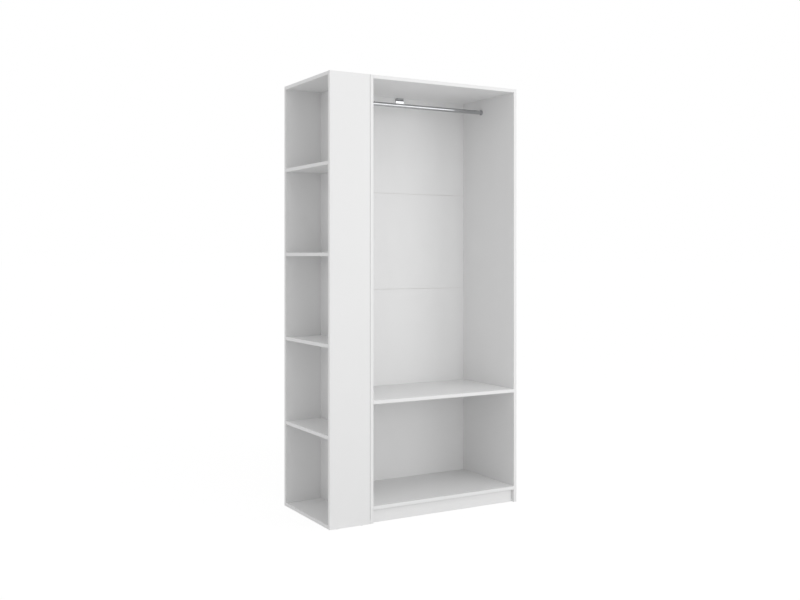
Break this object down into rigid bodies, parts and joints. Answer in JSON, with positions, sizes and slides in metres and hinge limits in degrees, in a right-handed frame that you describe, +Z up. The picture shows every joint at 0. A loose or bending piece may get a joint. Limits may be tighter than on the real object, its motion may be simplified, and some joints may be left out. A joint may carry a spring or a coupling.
{
  "type": "corner wardrobe",
  "caption": "Open white board wardrobe with a hanging rod, a shelf and a plinth, joined to a narrow end unit whose shelves open to the left side.",
  "frame": {"origin": "on the floor under the middle of the whole piece", "axes": "+X right along the front, +Y back towards the wall, +Z up; the front faces -Y"},
  "size_m": [1, 0.5, 2],
  "materials": {
    "white_board": "white melamine-faced chipboard with a satin, lightly pored face",
    "back_sheet": "thin fibreboard, white lacquer on the face, brown behind",
    "white_plastic": "white moulded plastic",
    "chrome": "bright chrome plate",
    "plated_steel": "zinc-plated steel",
    "zinc_cam": "bare die-cast zinc alloy",
    "beech": "fluted beech"
  },
  "bodies": {
    "carcass": {"wardrobe_left_side": "white_board", "wardrobe_right_side": "white_board", "wardrobe_top": "white_board", "wardrobe_shelf": "white_board", "wardrobe_bottom": "white_board", "wardrobe_plinth": "white_board", "wardrobe_rear_plinth": "white_board", "shelf_unit_front_panel": "white_board", "shelf_unit_rear_panel": "white_board", "shelf_unit_inner_back": "white_board", "shelf_unit_top": "white_board", "shelf_unit_bottom": "white_board", "shelf_unit_shelf_1": "white_board", "shelf_unit_shelf_2": "white_board", "shelf_unit_shelf_3": "white_board", "shelf_unit_shelf_4": "white_board", "back_leaf_1": "back_sheet", "back_leaf_2": "back_sheet", "back_leaf_3": "back_sheet", "back_leaf_4": "back_sheet", "back_seam_strip_1": "white_plastic", "back_seam_strip_2": "white_plastic", "screw_cover_caps": "white_plastic", "floor_glides": "white_plastic", "rod_socket_left": "chrome", "rod_socket_right": "chrome", "corner_brace_cover": "chrome", "corner_brace_angle": "plated_steel", "corner_brace_screws": "plated_steel", "corner_brace_bolts": "plated_steel", "corner_brace_nuts": "plated_steel", "wardrobe_confirmat_screws": "plated_steel", "shelf_unit_confirmat_screws": "plated_steel", "section_connector_sleeves": "plated_steel", "section_connector_bolts": "plated_steel", "back_screws": "plated_steel", "rod_socket_screws": "plated_steel", "cam_bolts": "plated_steel", "cam_locks": "zinc_cam", "shelf_unit_dowels": "beech"},
    "rod": {"hanging_rod": "chrome"}
  },
  "joints": [
    {"name": "rod_turn", "type": "hinge", "parent": "carcass", "child": "rod", "pos_m": [0.1, 0.03, 1.92], "axis": [1, 0, 0], "continuous": true}
  ]
}
